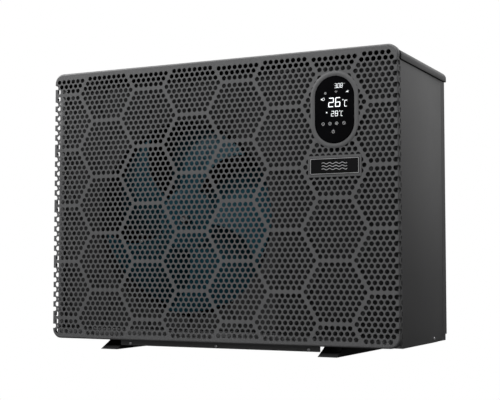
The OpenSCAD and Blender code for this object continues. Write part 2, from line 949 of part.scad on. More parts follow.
function helix_ring(k) =
    let (a = k * 360 / helix_step)
    [for (s = [0:helix_sides - 1])
        let (b = s * 360 / helix_sides, r = helix_r + helix_tube * cos(b))
        [r * cos(a), r * sin(a), k * helix_rise + helix_tube * sin(b)]];

module heat_exchanger_coil() {
    rings = helix_turns * helix_step;
    last = rings * helix_sides;
    color("#9a9a9a") from_front()
        translate([water_x, shell_y, shell_z0 + shell_wall + 15]) polyhedron(
            points = [for (k = [0:rings]) each helix_ring(k)],
            faces = concat(
                [[for (s = [0:helix_sides - 1]) s]],
                [[for (s = [0:helix_sides - 1]) last + helix_sides - 1 - s]],
                [for (k = [0:rings - 1]) for (s = [0:helix_sides - 1]) each
                    let (a = k * helix_sides + s, b = k * helix_sides + (s + 1) % helix_sides,
                        c = a + helix_sides, d = b + helix_sides)
                    [[a, c, b], [b, c, d]]]));
}

module stub(z) {
    difference() {
        union() {
            along_y(water_x, shell_y + shell_r - shell_wall, z)
                cylinder(r = stub_r, h = stub_end - shell_y - shell_r + shell_wall, $fn = 64);
            along_y(water_x, cabinet_d - 14, z)
                cylinder(r = thread_r, h = stub_end - cabinet_d + 14, $fn = 64);
            along_y(water_x, collar_y, z) cylinder(r = thread_r + 9, h = 4, $fn = 64);
        }
        along_y(water_x, shell_y, z) cylinder(r = stub_bore, h = 200, $fn = 64);
        along_y(water_x, stub_end - 3.5, z) difference() {
            cylinder(r = 27.3, h = 10, $fn = 64);
            translate([0, 0, -1]) cylinder(r = 23.7, h = 12, $fn = 64);
        }
    }
}

module inlet_stub() {
    color("#202020") from_front() difference() {
        stub(inlet_z);
        translate([water_x, paddle_y, inlet_z]) cylinder(r = 8, h = 60, $fn = 32);
    }
}

module outlet_stub() color("#202020") from_front() stub(outlet_z);

module oring(z)
    along_y(water_x, stub_end - 1.75, z)
        rotate_extrude($fn = 64) translate([25.5, 0]) circle(r = 1.75, $fn = 24);

module inlet_oring() color("black") from_front() oring(inlet_z);
module outlet_oring() color("black") from_front() oring(outlet_z);

module tailpiece(z) {
    difference() {
        union() {
            along_y(water_x, stub_end, z) cylinder(r = thread_r - 0.2, h = tail_flange, $fn = 64);
            along_y(water_x, stub_end, z) cylinder(r = tail_r, h = back_y - stub_end, $fn = 64);
        }
        along_y(water_x, stub_end - 5, z) cylinder(r = stub_bore, h = 100, $fn = 64);
        along_y(water_x, back_y - socket_len, z) cylinder(r = socket_r, h = 100, $fn = 64);
    }
}

module inlet_tailpiece() color("#303030") from_front() tailpiece(inlet_z);
module outlet_tailpiece() color("#303030") from_front() tailpiece(outlet_z);

rib_count = 12;
nut_len = 36;

module union_nut(z) {
    difference() {
        union() {
            along_y(water_x, nut_y0, z) cylinder(r = nut_r - 3, h = nut_len, $fn = 64);
            for (k = [0:rib_count - 1]) along_y(water_x, nut_y0, z) rotate(k * 360 / rib_count)
                translate([nut_r - 5, 0, 3]) cylinder(r = 5, h = nut_len - 3, $fn = 24);
        }
        along_y(water_x, nut_y0 - 5, z) cylinder(r = thread_r + fit_gap, h = lip_y - nut_y0 + 5, $fn = 64);
        along_y(water_x, nut_y0 - 5, z) cylinder(r = tail_r + fit_gap, h = 100, $fn = 64);
    }
}

module inlet_nut() color("#252525") from_front() union_nut(inlet_z);
module outlet_nut() color("#252525") from_front() union_nut(outlet_z);

pivot_z = inlet_z + 27;
pivot_r = 2;

// Switch body that screws into the top of the inlet pipe; its fork holds the paddle's pin.
module flow_switch() {
    color("#303030") from_front() {
        difference() {
            union() {
                translate([water_x, paddle_y, inlet_z + 22]) cylinder(r = 7.9, h = 20, $fn = 32);
                slab([water_x - 15, paddle_y - 12, inlet_z + 32],
                    [water_x + 15, paddle_y + 12, inlet_z + 66]);
            }
            slab([water_x - 2.3, paddle_y - 20, inlet_z + 20], [water_x + 2.3, paddle_y + 20, pivot_z + 4]);
            along_x(water_x - 6, paddle_y, pivot_z) cylinder(r = pivot_r + fit_gap, h = 12, $fn = 32);
        }
    }
}

module flow_paddle() {
    color("silver") from_front() {
        union() {
            along_x(water_x - 6, paddle_y, pivot_z) cylinder(r = pivot_r, h = 12, $fn = 32);
            slab([water_x - 2, paddle_y - 1, inlet_z], [water_x + 2, paddle_y + 1, pivot_z]);
            slab([water_x - 6, paddle_y - 1, inlet_z - 15], [water_x + 6, paddle_y + 1, inlet_z + 8]);
        }
    }
}

module control_box() {
    color("gray") from_front() {
        difference() {
            slab([box_x0, box_y0, box_z0], [box_x1, box_y1, box_z1]);
            slab([box_x0 + sheet_t, box_y0 + sheet_t, box_z0 + sheet_t],
                [box_x1 - sheet_t, box_y1 - sheet_t, box_z1 + 1]);
            translate([box_x0 + 70, 200, box_z0 - 1]) cylinder(r = 10, h = 10, $fn = 32);
        }
    }
}

board_z = box_z0 + 14;

module control_board() {
    color("darkgreen") from_front() {
        union() {
            slab([box_x0 + 10, box_y0 + 10, board_z], [box_x1 - 90, box_y1 - 10, board_z + 2]);
            for (i = [0:3])
                translate([box_x0 + 40 + i * 32, 90, board_z + 1]) cylinder(r = 12, h = 34, $fn = 32);
            slab([box_x0 + 30, 180, board_z + 1], [box_x0 + 110, 225, board_z + 18]);
            slab([box_x0 + 130, 170, board_z + 1], [box_x0 + 180, 250, board_z + 12]);
        }
    }
}

module heat_sink() {
    color("silver") from_front() {
        union() {
            slab([box_x1 - 80, box_y0 + 20, box_z0 + sheet_t], [box_x1 - 20, box_y0 + 150, box_z0 + 12]);
            for (i = [0:7])
                slab([box_x1 - 80 + i * 8, box_y0 + 20, box_z0 + 10],
                    [box_x1 - 78 + i * 8, box_y0 + 150, box_z0 + 42]);
        }
    }
}

module choke() {
    color("#303030") from_front() {
        union() {
            slab([box_x1 - 78, 215, box_z0 + sheet_t], [box_x1 - 24, 280, box_z0 + 46]);
            slab([box_x1 - 72, 205, box_z0 + 10], [box_x1 - 30, 290, box_z0 + 38]);
        }
    }
}

module cable_gland() {
    color("black") from_front() {
        difference() {
            union() {
                along_y(gland_x, cabinet_d - 10, gland_z) cylinder(r = gland_r, h = 12);
                along_y(gland_x, cabinet_d, gland_z) cylinder(r = 17 / cos(30), h = 6, $fn = 6);
                along_y(gland_x, cabinet_d + 5, gland_z) cylinder(r = 14, h = 14);
                along_y(gland_x, cabinet_d - 8, gland_z) cylinder(r = 17 / cos(30), h = 5, $fn = 6);
            }
            along_y(gland_x, cabinet_d - 20, gland_z) cylinder(r = 6, h = 60);
        }
    }
}

drain_end = 4;
drain_hose_top = pan_z - 0.6;

// Dropped in from above: a flange on the pan's floor, a neck through its hole, and the hose end.
module drain_spigot() {
    color("#303030") from_front()
        translate([drain_x, drain_y, 0]) difference() {
            union() {
                translate([0, 0, drain_end]) cylinder(r = 9.5, h = drain_hose_top - drain_end);
                translate([0, 0, drain_hose_top]) cylinder(r = 9, h = pan_z + sheet_t - drain_hose_top);
                translate([0, 0, pan_z + sheet_t]) cylinder(r = 15, h = 3);
            }
            translate([0, 0, -1]) cylinder(r = 7, h = 40);
        }
}

rail_screw_x = [-248, 0, 248];

module rail_screws() {
    color("silver") from_front()
        for (x = rail_screw_x) along_y(x, rail_y - 2, 14.5) cylinder(r = 4, h = 2, $fn = 24);
}

// Panel screws on the back and on the lower rear corners of the sides.
module cabinet_screws() {
    color("silver") from_front() {
        for (z = [80, 260, 500, 660]) along_y(half_w - 20, cabinet_d, z) cylinder(r = 4.2, h = 2, $fn = 24);
        for (z = [80, 260, 500, 660]) along_y(bay_x + 6, cabinet_d, z) cylinder(r = 4.2, h = 2, $fn = 24);
        for (z = [80, 360, 660]) along_y(-half_w + 20, cabinet_d, z) cylinder(r = 4.2, h = 2, $fn = 24);
        along_x(half_w, 262, 34) cylinder(r = 4.2, h = 1.5, $fn = 24);
    }
}

front_cover();
display_bezel();
display_glass();
display_housing();
display_board();
badge_backing();
badge_plate();
top_cover();
right_side_panel();
left_front_post();
left_rear_post();
rear_panel();
rear_guard();
left_guard();
base_pan();
base_rail();
left_runner();
right_runner();
air_ring_panel();
bay_front_panel();
partition_panel();
fan_rotor();
fan_nut();
motor_shaft();
fan_motor();
motor_bracket();
coil_fins();
coil_bends();
coil_end_plate();
compressor();
compressor_grommets();
compressor_cap();
accumulator();
suction_pipe();
discharge_pipe();
liquid_pipe();
reversing_valve();
reversing_coil();
expansion_valve();
heat_exchanger_shell();
heat_exchanger_coil();
inlet_stub();
outlet_stub();
inlet_oring();
outlet_oring();
inlet_tailpiece();
outlet_tailpiece();
inlet_nut();
outlet_nut();
flow_switch();
flow_paddle();
control_box();
control_board();
heat_sink();
choke();
cable_gland();
drain_spigot();
cabinet_screws();
rail_screws();
motor_screws();
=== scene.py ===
"""Looks for the pool heat pump: perforated cover, lit display, cast fan, finned coil, floor, light."""
import json
import math

import bmesh
import bpy
import numpy as np
from mathutils import Matrix, Vector, geometry


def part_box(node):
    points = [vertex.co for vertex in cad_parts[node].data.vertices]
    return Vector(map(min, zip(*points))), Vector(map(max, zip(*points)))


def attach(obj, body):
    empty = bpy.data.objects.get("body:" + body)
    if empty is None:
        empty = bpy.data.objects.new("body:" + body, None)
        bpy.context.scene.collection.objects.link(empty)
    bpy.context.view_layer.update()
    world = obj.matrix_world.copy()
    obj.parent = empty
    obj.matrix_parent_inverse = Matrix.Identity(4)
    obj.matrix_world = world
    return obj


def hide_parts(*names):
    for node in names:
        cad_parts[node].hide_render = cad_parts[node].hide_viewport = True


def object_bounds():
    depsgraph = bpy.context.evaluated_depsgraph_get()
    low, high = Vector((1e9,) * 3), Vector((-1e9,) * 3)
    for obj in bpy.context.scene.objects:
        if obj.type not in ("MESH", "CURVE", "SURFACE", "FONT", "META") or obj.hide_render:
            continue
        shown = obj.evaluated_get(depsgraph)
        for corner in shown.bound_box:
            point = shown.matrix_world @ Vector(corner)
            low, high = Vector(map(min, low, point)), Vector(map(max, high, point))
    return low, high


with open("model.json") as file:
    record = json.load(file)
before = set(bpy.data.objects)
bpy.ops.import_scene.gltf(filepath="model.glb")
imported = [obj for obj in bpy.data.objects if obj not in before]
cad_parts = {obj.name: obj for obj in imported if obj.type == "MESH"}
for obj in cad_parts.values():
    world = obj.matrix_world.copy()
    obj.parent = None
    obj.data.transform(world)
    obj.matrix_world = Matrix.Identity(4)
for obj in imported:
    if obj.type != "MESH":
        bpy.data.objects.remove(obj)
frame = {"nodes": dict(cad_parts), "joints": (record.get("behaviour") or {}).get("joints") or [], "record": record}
cad_low, cad_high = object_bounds()

MM = 0.001
NODE_SLOT = {s["node"]: s["material_slot"] for s in frame["record"]["subparts"]}
NODE_BODY = {n: b for b, ns in frame["record"]["behaviour"]["bodies"].items() for n in ns}
JOINT = {j["name"]: j for j in frame["joints"]}

cover_low, cover_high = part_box("front_cover")
FRONT_Y = cover_low.y
COVER_Z = cover_low.z
COVER_W = cover_high.x - cover_low.x
COVER_H = cover_high.z - cover_low.z
FLANGE_D = cover_high.y - cover_low.y


# ---- Camera ------------------------------------------------------------------------------

def make_camera():
    """Three-quarter view from the right, a little below the middle of the cover."""
    data = bpy.data.cameras.new("camera")
    data.sensor_width = 36.0
    data.lens = 79.27
    data.clip_end = 50.0
    camera = bpy.data.objects.new("camera", data)
    camera.location = (1.2825, FRONT_Y - 2.3901, COVER_Z + 0.183)
    camera.rotation_euler = (math.radians(90 + 3.546), 0, math.radians(26.285))
    bpy.context.scene.collection.objects.link(camera)
    bpy.context.scene.camera = camera


# ---- Materials ---------------------------------------------------------------------------

class Shader:
    """A small builder for one node material around a Principled shader."""

    def __init__(self, name):
        self.material = bpy.data.materials.new(name)
        self.material.use_nodes = True
        self.tree = self.material.node_tree
        self.principled = self.tree.nodes["Principled BSDF"]
        self.where = self.tree.nodes.new("ShaderNodeTexCoord").outputs["Object"]

    def put(self, **values):
        for name, value in values.items():
            self.principled.inputs[name.replace("_", " ")].default_value = value

    def link(self, a, b):
        self.tree.links.new(a, b)

    def noise(self, scale, detail=3.0, roughness=0.5, stretch=(1, 1, 1)):
        mapping = self.tree.nodes.new("ShaderNodeMapping")
        mapping.inputs["Scale"].default_value = stretch
        self.link(self.where, mapping.inputs["Vector"])
        node = self.tree.nodes.new("ShaderNodeTexNoise")
        node.inputs["Scale"].default_value = scale
        node.inputs["Detail"].default_value = detail
        node.inputs["Roughness"].default_value = roughness
        self.link(mapping.outputs["Vector"], node.inputs["Vector"])
        return node.outputs["Fac"]

    def ramp(self, factor, low, high, start=0.3, end=0.7):
        node = self.tree.nodes.new("ShaderNodeValToRGB")
        node.color_ramp.elements[0].position = start
        node.color_ramp.elements[1].position = end
        node.color_ramp.elements[0].color = (*low, 1)
        node.color_ramp.elements[1].color = (*high, 1)
        self.link(factor, node.inputs["Fac"])
        return node.outputs["Color"]

    def spread(self, factor, low, high):
        node = self.tree.nodes.new("ShaderNodeMapRange")
        node.inputs["From Min"].default_value = 0.3
        node.inputs["From Max"].default_value = 0.7
        node.inputs["To Min"].default_value = low
        node.inputs["To Max"].default_value = high
        self.link(factor, node.inputs["Value"])
        return node.outputs["Result"]

    def multiply(self, a, b):
        node = self.tree.nodes.new("ShaderNodeMix")
        node.data_type = "RGBA"
        node.blend_type = "MULTIPLY"
        node.inputs[0].default_value = 1.0
        self.link(a, node.inputs[6])
        self.link(b, node.inputs[7])
        return node.outputs[2]

    def bump(self, height, strength, distance):
        node = self.tree.nodes.new("ShaderNodeBump")
        node.inputs["Strength"].default_value = strength
        node.inputs["Distance"].default_value = distance
        self.link(height, node.inputs["Height"])
        self.link(node.outputs["Normal"], self.principled.inputs["Normal"])


def shade(color, factor):
    return tuple(c * factor for c in color)


def coated_metal(name, color, grain=1400.0, rough=(0.5, 0.62), variation=0.05, bump=0.12, gloss=0.5):
    """Powder coat: fine orange peel, and a faint cloudy variation from handling and dust."""
    s = Shader(name)
    s.put(Specular_IOR_Level=gloss)
    cloud = s.noise(3.5, 5.0, 0.6)
    fine = s.noise(grain, 2.0)
    tone = s.ramp(cloud, shade(color, 1 - variation), shade(color, 1 + variation))
    fleck = s.ramp(fine, (0.9, 0.9, 0.9), (1, 1, 1))
    s.link(s.multiply(tone, fleck), s.principled.inputs["Base Color"])
    s.link(s.spread(cloud, *rough), s.principled.inputs["Roughness"])
    s.bump(fine, bump, 0.0002)
    return s.material


def moulded_plastic(name, color, rough=(0.42, 0.55), grain=900.0, gloss=0.5):
    s = Shader(name)
    s.put(Specular_IOR_Level=gloss)
    cloud = s.noise(9.0, 4.0)
    fine = s.noise(grain, 3.0)
    s.link(s.ramp(cloud, shade(color, 0.88), shade(color, 1.12)), s.principled.inputs["Base Color"])
    s.link(s.spread(cloud, *rough), s.principled.inputs["Roughness"])
    s.bump(fine, 0.15, 0.0002)
    return s.material


def bare_metal(name, color, rough=(0.28, 0.45), stretch=(1, 1, 30), grain=60.0):
    """Sheet or turned metal, with the streaks that rolling or turning leaves."""
    s = Shader(name)
    s.put(Metallic=1.0)
    streak = s.noise(grain, 4.0, 0.6, stretch)
    cloud = s.noise(14.0, 4.0)
    tone = s.ramp(cloud, shade(color, 0.85), shade(color, 1.05))
    s.link(s.multiply(tone, s.ramp(streak, (0.9,) * 3, (1.0,) * 3)), s.principled.inputs["Base Color"])
    s.link(s.spread(streak, *rough), s.principled.inputs["Roughness"])
    s.bump(streak, 0.08, 0.0003)
    return s.material


def galvanised_metal(name):
    """Zinc-coated sheet, with its crystal spangle."""
    s = Shader(name)
    s.put(Metallic=0.9)
    cells = s.tree.nodes.new("ShaderNodeTexVoronoi")
    cells.inputs["Scale"].default_value = 90.0
    s.link(s.where, cells.inputs["Vector"])
    tone = s.ramp(cells.outputs["Distance"], (0.36, 0.37, 0.38), (0.5, 0.51, 0.53), 0.1, 0.6)
    s.link(tone, s.principled.inputs["Base Color"])
    s.link(s.spread(s.noise(40.0), 0.38, 0.55), s.principled.inputs["Roughness"])
    s.bump(cells.outputs["Distance"], 0.05, 0.0002)
    return s.material


def touch_glass(name):
    s = Shader(name)
    s.put(Specular_IOR_Level=0.01)
    smear = s.noise(22.0, 5.0, 0.65)
    tone = s.ramp(smear, (0.0025, 0.0025, 0.003), (0.004, 0.004, 0.0045))
    s.link(tone, s.principled.inputs["Base Color"])
    s.link(s.spread(smear, 0.12, 0.22), s.principled.inputs["Roughness"])
    return s.material


def lit_segment(name, color, strength):
    """A display segment: slightly uneven light from the lamps behind it."""
    s = Shader(name)
    uneven = s.noise(120.0, 2.0)
    tone = s.ramp(uneven, shade(color, 0.85), color)
    s.link(tone, s.principled.inputs["Base Color"])
    s.link(tone, s.principled.inputs["Emission Color"])
    s.put(Roughness=0.4, Emission_Strength=strength)
    return s.material


def green_board(name):
    s = Shader(name)
    tracks = s.noise(300.0, 2.0, 0.4, (1, 6, 1))
    tone = s.ramp(tracks, (0.008, 0.05, 0.02), (0.02, 0.12, 0.045), 0.45, 0.55)
    s.link(tone, s.principled.inputs["Base Color"])
    s.link(s.spread(tracks, 0.3, 0.45), s.principled.inputs["Roughness"])
    return s.material


def soft_rubber(name):
    s = Shader(name)
    dust = s.noise(60.0, 5.0)
    s.link(s.ramp(dust, (0.01, 0.01, 0.01), (0.022, 0.021, 0.02)), s.principled.inputs["Base Color"])
    s.link(s.spread(dust, 0.65, 0.85), s.principled.inputs["Roughness"])
    s.bump(dust, 0.1, 0.0003)
    return s.material


def pale_floor_material():
    """White paper: it glows for the eye of the camera alone, so that it meets the background."""
    s = Shader("pale_floor")
    cloud = s.noise(1.5, 4.0)
    s.link(s.ramp(cloud, (0.09, 0.09, 0.09), (0.1, 0.1, 0.1)), s.principled.inputs["Base Color"])
    s.put(Roughness=0.9, Specular_IOR_Level=0.1)
    glow = s.tree.nodes.new("ShaderNodeEmission")
    glow.inputs["Strength"].default_value = 1.0
    sees = s.tree.nodes.new("ShaderNodeLightPath")
    mix = s.tree.nodes.new("ShaderNodeMixShader")
    s.link(sees.outputs["Is Camera Ray"], mix.inputs["Fac"])
    s.link(s.principled.outputs["BSDF"], mix.inputs[1])
    s.link(glow.outputs["Emission"], mix.inputs[2])
    s.link(mix.outputs["Shader"], s.tree.nodes["Material Output"].inputs["Surface"])
    return s.material


MATERIALS = {
    "painted_sheet": coated_metal("painted_sheet", (0.098, 0.098, 0.1), rough=(0.36, 0.44)),
    # inner_sheet is near black: painted shade for the panels inside the unit behind the cover, darker than their
    # own grey.
    "inner_sheet": coated_metal("inner_sheet", (0.036, 0.036, 0.0365), rough=(0.6, 0.7), gloss=0.05),
    "galvanised": galvanised_metal("galvanised"),
    "black_steel": coated_metal("black_steel", (0.012, 0.012, 0.0125), rough=(0.4, 0.55)),
    "black_glass": touch_glass("black_glass"),
    "badge_black": moulded_plastic("badge_black", (0.004, 0.004, 0.0042), rough=(0.3, 0.4), gloss=0.1),
    "black_plastic": moulded_plastic("black_plastic", (0.018, 0.018, 0.019)),
    "grey_plastic": moulded_plastic("grey_plastic", (0.06, 0.06, 0.063)),
    "fan_plastic": moulded_plastic("fan_plastic", (0.013, 0.062, 0.085), rough=(0.45, 0.55), gloss=0.1),
    "circuit_board": green_board("circuit_board"),
    "copper": bare_metal("copper", (0.72, 0.36, 0.22), stretch=(1, 1, 1)),
    "brass": bare_metal("brass", (0.66, 0.5, 0.22), stretch=(1, 1, 1)),
    "aluminium": bare_metal("aluminium", (0.62, 0.64, 0.66)),
    "bright_steel": bare_metal("bright_steel", (0.5, 0.5, 0.51), stretch=(1, 1, 1)),
    "titanium": bare_metal("titanium", (0.42, 0.4, 0.38), stretch=(1, 1, 1)),
    "rubber": soft_rubber("rubber"),
}
LIT_WHITE = lit_segment("lit_white", (0.86, 0.88, 0.9), 1.0)
LIT_DIM = lit_segment("lit_dim", (0.36, 0.36, 0.37), 0.35)
# Near-black colour for the aluminium fins: painted shade for the dark inside of the unit behind the cover, not a
# coating.
FIN_PAINTED_SHADE = coated_metal("fin_painted_shade", (0.012, 0.012, 0.013), rough=(0.5, 0.6), gloss=0.1)
# Dark brown, low-gloss colour for the copper coil tubes: painted shade deep inside the unit, darker than bare
# copper, which also keeps highlights off them.
TUBE_PAINTED_SHADE = coated_metal("tube_painted_shade", (0.05, 0.022, 0.014), rough=(0.5, 0.6), gloss=0.1)
BADGE_RIM = coated_metal("badge_rim", (0.42, 0.42, 0.42), rough=(0.3, 0.4))
BADGE_PRINT = coated_metal("badge_print", (0.5, 0.5, 0.51), rough=(0.3, 0.4))


# ---- Mesh helpers ------------------------------------------------------------------------

def add_piece(name, mesh, body, material, replaced=()):
    piece = bpy.data.objects.new(name, mesh)
    bpy.context.scene.collection.objects.link(piece)
    mesh.materials.clear()
    mesh.materials.append(material)
    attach(piece, body)
    if replaced:
        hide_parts(*replaced)
    return piece


def shade_by_angle(mesh, degrees=35):
    mesh.polygons.foreach_set("use_smooth", [True] * len(mesh.polygons))
    mesh.set_sharp_from_angle(angle=math.radians(degrees))


def mesh_from(name, verts, faces, smooth=True):
    mesh = bpy.data.meshes.new(name)
    mesh.from_pydata([tuple(v) for v in verts], [], [tuple(f) for f in faces])
    mesh.validate()
    if smooth:
        shade_by_angle(mesh)
    return mesh


def soften(node, width):
    """The CAD piece with its real edge radius: sharp edges are rounded, and it is shaded smooth."""
    bm = bmesh.new()
    bm.from_mesh(frame["nodes"][node].data)
    bmesh.ops.remove_doubles(bm, verts=bm.verts, dist=1e-6)
    bmesh.ops.dissolve_limit(bm, angle_limit=math.radians(0.5), verts=bm.verts, edges=bm.edges)
    sharp = [e for e in bm.edges if len(e.link_faces) == 2 and e.calc_face_angle() > math.radians(40)]
    bmesh.ops.bevel(bm, geom=sharp, offset=width, segments=2, profile=0.5, affect="EDGES",
                    clamp_overlap=True)
    bmesh.ops.dissolve_degenerate(bm, dist=1e-6, edges=bm.edges)
    bmesh.ops.triangulate(bm, faces=[f for f in bm.faces if len(f.verts) > 4])
    mesh = bpy.data.meshes.new(node + "_soft")
    bm.to_mesh(mesh)
    bm.free()
    shade_by_angle(mesh, 25)
    slot = NODE_SLOT[node]
    return add_piece(node + "_soft", mesh, NODE_BODY[node], MATERIALS[slot], [node])


# ---- Front cover -------------------------------------------------------------------------

HOLE_R = 5.7
HOLE_PITCH = 14.81
ROW_PITCH = HOLE_PITCH * math.sin(math.radians(60))
CELL_PITCH = 147.2
COLUMN_PITCH = 127.63
COLUMN_X = 67.2
CELL_Z = 53.6
ROWS = 5
CORNER_R = 25.0
FOLD_R = 4.0
SHEET_T = 1.2
HOLE_SIDES = 18
BEND_GAP = 4.0
SLOT_START = 9.0
LOW_MARGIN = 14.0
TOP_MARGIN = 17.0
GLASS_LAP = 4.0
FOLD_ALLOWANCE = (2 - math.pi / 2) * FOLD_R


def cover_holes():
    """Holes on the unfolded sheet, in mm from the middle of the cover: (first x, last x, z).

    A hole just inside a side fold runs round it, as a slot, into the next one on the flange.
    A hole right on the fold is left out.
    """
    half_w, height, flange = COVER_W / MM / 2, COVER_H / MM, FLANGE_D / MM
    edge = flange - FOLD_ALLOWANCE
    kept = []
    for column in range(-4, 5):
        x0 = COLUMN_X + (column - 1) * COLUMN_PITCH
        lift = 0 if column % 2 == 0 else CELL_PITCH / 2
        for cell in range(-1, 6):
            for row in range(-ROWS, ROWS + 1):
                z = CELL_Z + lift + cell * CELL_PITCH + row * ROW_PITCH
                if not LOW_MARGIN < z < height - TOP_MARGIN:
                    continue
                count = 2 * ROWS + 1 - abs(row)
                for k in range(count):
                    x = x0 + (k - (count - 1) / 2) * HOLE_PITCH
                    beyond = abs(x) - half_w
                    by_corner = not CORNER_R < z < height - CORNER_R
                    if beyond < -SLOT_START and not in_corner(x, z - height / 2):
                        kept.append((x, x, z - height / 2))
                    elif -SLOT_START <= beyond <= -BEND_GAP and not by_corner:
                        ends = sorted((x, x + math.copysign(HOLE_PITCH, x)))
                        kept.append((*ends, z - height / 2))
                    elif edge - HOLE_R < beyond < edge + HOLE_R and not by_corner:
                        kept.append((x, x, z - height / 2))
    return kept


def in_corner(x, z):
    ax = abs(x) - (COVER_W / MM / 2 - CORNER_R)
    az = abs(z) - (COVER_H / MM / 2 - CORNER_R)
    return ax > 0 and az > 0 and math.hypot(ax, az) > CORNER_R - HOLE_R - 2


def hole_loop(x0, x1, z):
    """Outline of a round hole, or of the slot between two of them."""
    angles = [2 * math.pi * i / HOLE_SIDES for i in range(HOLE_SIDES)]
    return [((x1 if math.cos(a) > 0 else x0) + HOLE_R * math.cos(a), z + HOLE_R * math.sin(a))
            for a in angles]


def rounded_loop(half_w, half_h, radius, steps=8):
    loop = []
    for quarter, (sx, sz) in enumerate([(1, 1), (-1, 1), (-1, -1), (1, -1)]):
        for i in range(steps + 1):
            a = math.pi / 2 * (quarter + i / steps)
            loop.append((sx * (half_w - radius) + radius * math.cos(a),
                         sz * (half_h - radius) + radius * math.sin(a)))
    return loop


def split_loop(loop, step):
    """The same loop with its long straight sides divided."""
    points = []
    for a, b in zip(loop, loop[1:] + loop[:1]):
        count = max(1, round(math.dist(a, b) / step))
        points += [(a[0] + (b[0] - a[0]) * i / count, a[1] + (b[1] - a[1]) * i / count)
                   for i in range(count)]
    return points


def past_edge(flat):
    """Distance of each flat point past the line where the fold starts, and the way out there."""
    half = np.array([COVER_W, COVER_H]) / MM / 2 - FOLD_R
    r = CORNER_R - FOLD_R
    core = np.abs(flat) - (half - r)
    out = np.maximum(core, 0)
    length = np.linalg.norm(out, axis=1)
    normal = np.where(length[:, None] > 1e-9, out / np.maximum(length, 1e-9)[:, None], 0) * np.sign(flat)
    return np.where((core > 0).any(axis=1), length - r, -1.0), normal


def fold_sheet(flat, depth):
    """Folds flat points round the cover's edge; depth is the distance under the outer face."""
    dist, normal = past_edge(flat)
    base = flat - normal * np.maximum(dist, 0)[:, None]
    arc = FOLD_R * math.pi / 2
    angle = np.clip(dist / FOLD_R, 0, math.pi / 2)
    radius = FOLD_R - depth
    side = base + normal * (radius * np.sin(angle))[:, None]
    y = FOLD_R - radius * np.cos(angle) + np.maximum(dist - arc, 0)
    inside = dist <= 0
    side = np.where(inside[:, None], flat, side)
    y = np.where(inside, depth, y)
    return np.column_stack([side[:, 0], y, side[:, 1]])


def in_holes(points, holes, reach):
    """True for each point that lies in a hole."""
    grid = {}
    for x0, x1, z in holes:
        place = (math.floor((x0 + x1) / 2 / HOLE_PITCH), math.floor(z / HOLE_PITCH))
        grid.setdefault(place, []).append((x0, x1, z))
    result = np.zeros(len(points), bool)
    for k, (x, z) in enumerate(points):
        gx, gz = math.floor(x / HOLE_PITCH), math.floor(z / HOLE_PITCH)
        near = [h for ix in (gx - 1, gx, gx + 1) for iz in (gz - 1, gz, gz + 1)
                for h in grid.get((ix, iz), ())]
        result[k] = any(math.hypot(x - min(max(x, x0), x1), z - z0) < reach for x0, x1, z0 in near)
    return result


def perforated_cover():
    """One pressed sheet: honeycomb groups of holes on the face, running round the side folds."""
    holes = cover_holes()
    arc = FOLD_R * math.pi / 2
    flange = FLANGE_D / MM - FOLD_R
    half_w = COVER_W / MM / 2 - FOLD_R
    half_h = COVER_H / MM / 2 - FOLD_R
    radius = CORNER_R - FOLD_R
    points, edges = [], []

    def add_loop(loop):
        start = len(points)
        points.extend(Vector(p) for p in loop)
        edges.extend((start + i, start + (i + 1) % len(loop)) for i in range(len(loop)))

    for out in (-0.8, 0, arc / 4, arc / 2, arc * 3 / 4, arc, arc + 0.8, arc + flange):
        add_loop(split_loop(rounded_loop(half_w + out, half_h + out, radius + out), 60))
    display_x, display_z = display_centre()
    window = [size - 2 * GLASS_LAP for size in glass_size()]
    add_loop(stadium_loop(display_x, display_z, *window))
    for hole in holes:
        add_loop(hole_loop(*hole))
    verts, _, faces, *_ = geometry.delaunay_2d_cdt(points, edges, [], 1, 1e-5, False)
    flat = np.array([(v.x, v.y) for v in verts])
    faces = np.array([f for f in faces if len(f) == 3])
    centre = flat[faces].mean(axis=1)
    reach = HOLE_R * math.cos(math.pi / HOLE_SIDES) * 0.995
    gone = in_holes(centre, holes, reach) | in_stadium(centre, *window)
    gone |= past_edge(centre)[0] > arc + flange
    faces = faces[~gone]
    a, b, c = (flat[faces[:, i]] for i in range(3))
    turned = (b[:, 0] - a[:, 0]) * (c[:, 1] - a[:, 1]) - (b[:, 1] - a[:, 1]) * (c[:, 0] - a[:, 0]) < 0
    faces[turned] = faces[turned][:, ::-1]
    outer = fold_sheet(flat, 0.0)
    inner = fold_sheet(flat, SHEET_T)
    count = len(flat)
    sides = np.concatenate([faces[:, [0, 1]], faces[:, [1, 2]], faces[:, [2, 0]]])
    known = {tuple(e) for e in sides.tolist()}
    rim = [(j, i, i + count, j + count) for i, j in known if (j, i) not in known]
    everything = faces.tolist() + (faces[:, ::-1] + count).tolist() + rim
    solid = np.concatenate([outer, inner]) * MM + np.array([0, FRONT_Y, COVER_Z + COVER_H / 2])
    bm = bmesh.new()
    made = [bm.verts.new(v) for v in solid]
    for face in everything:
        bm.faces.new([made[i] for i in face])
    bmesh.ops.delete(bm, geom=[v for v in bm.verts if not v.link_faces], context="VERTS")
    mesh = bpy.data.meshes.new("perforated_cover")
    bm.to_mesh(mesh)
    bm.free()
    shade_by_angle(mesh, 40)
    return add_piece("perforated_cover", mesh, "cabinet",
                     MATERIALS["painted_sheet"], ["front_cover"])


# ---- Display and badge -------------------------------------------------------------------

def display_centre():
    """Centre of the glass, in mm, from the middle of the cover."""
    low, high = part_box("display_glass")
    return (low.x + high.x) / 2 / MM, ((low.z + high.z) / 2 - COVER_Z - COVER_H / 2) / MM


def glass_size():
    low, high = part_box("display_glass")
    return (high.x - low.x) / MM, (high.z - low.z) / MM


